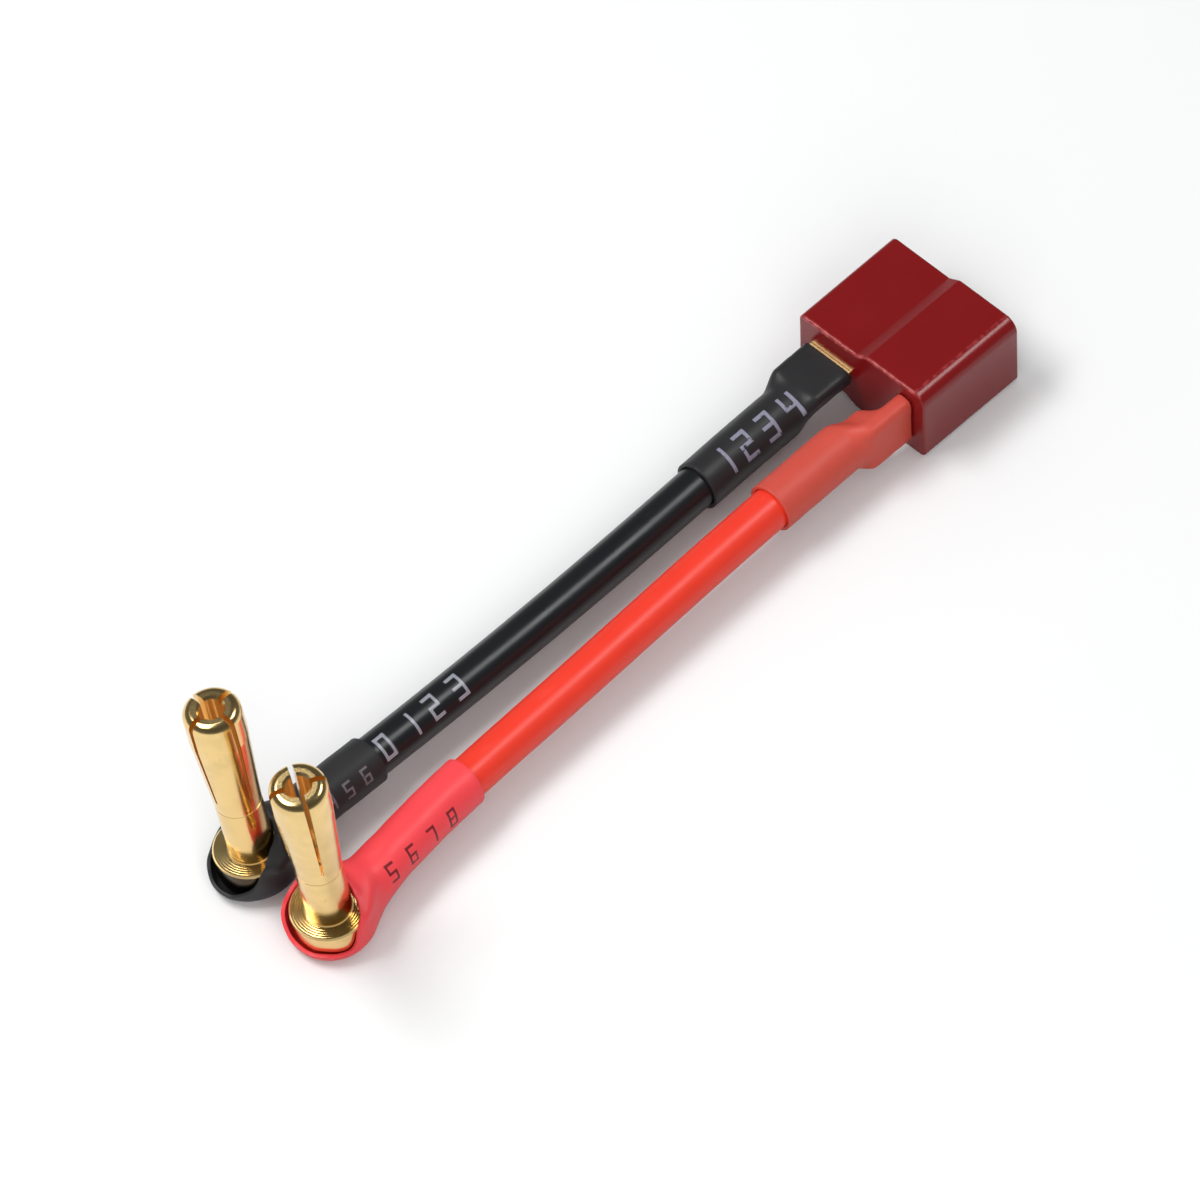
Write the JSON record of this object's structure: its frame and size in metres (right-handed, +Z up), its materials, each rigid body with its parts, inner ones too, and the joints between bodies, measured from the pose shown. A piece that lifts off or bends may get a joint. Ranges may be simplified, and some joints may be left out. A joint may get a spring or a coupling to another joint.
{
  "type": "battery connector adapter",
  "caption": "Short two-wire lead that adapts a T-shaped flat-blade battery plug to a pair of sprung bullet pins, with shrunk sleeves over its joints.",
  "frame": {"origin": "on the surface the lead lies on, under the middle of its length and width", "axes": "+X along the wires towards the plug's mating face, +Y towards the negative (black) wire, +Z up, the way the bullet pins stand"},
  "size_m": [0.0991, 0.0198, 0.0264],
  "materials": {
    "red_nylon": "moulded, glossy, dark red",
    "gold_plate": "bright gold plate on turned or stamped brass",
    "spring_metal": "thin rolled leaf",
    "solder": "bright tin solder",
    "tinned_copper": "fine tinned strands",
    "black_silicone": "soft, satin, black",
    "red_silicone": "soft, satin, bright red",
    "black_sleeve": "shrunk film, matt, black",
    "red_sleeve": "shrunk film, matt, orange red",
    "pink_red_sleeve": "shrunk film, soft sheen, pinkish red"
  },
  "bodies": {
    "root": {"plug_housing": "red_nylon", "negative_contact": "gold_plate", "positive_contact": "gold_plate", "negative_contact_spring": "spring_metal", "positive_contact_spring": "spring_metal", "negative_tab_solder": "solder", "positive_tab_solder": "solder", "negative_conductor": "tinned_copper", "positive_conductor": "tinned_copper", "negative_wire_insulation": "black_silicone", "positive_wire_insulation": "red_silicone", "negative_plug_sleeve": "black_sleeve", "positive_plug_sleeve": "red_sleeve", "negative_bullet_sleeve": "black_sleeve", "positive_bullet_sleeve": "pink_red_sleeve", "negative_bullet_pin": "gold_plate", "positive_bullet_pin": "gold_plate", "negative_cup_solder": "solder", "positive_cup_solder": "solder"}
  },
  "joints": []
}
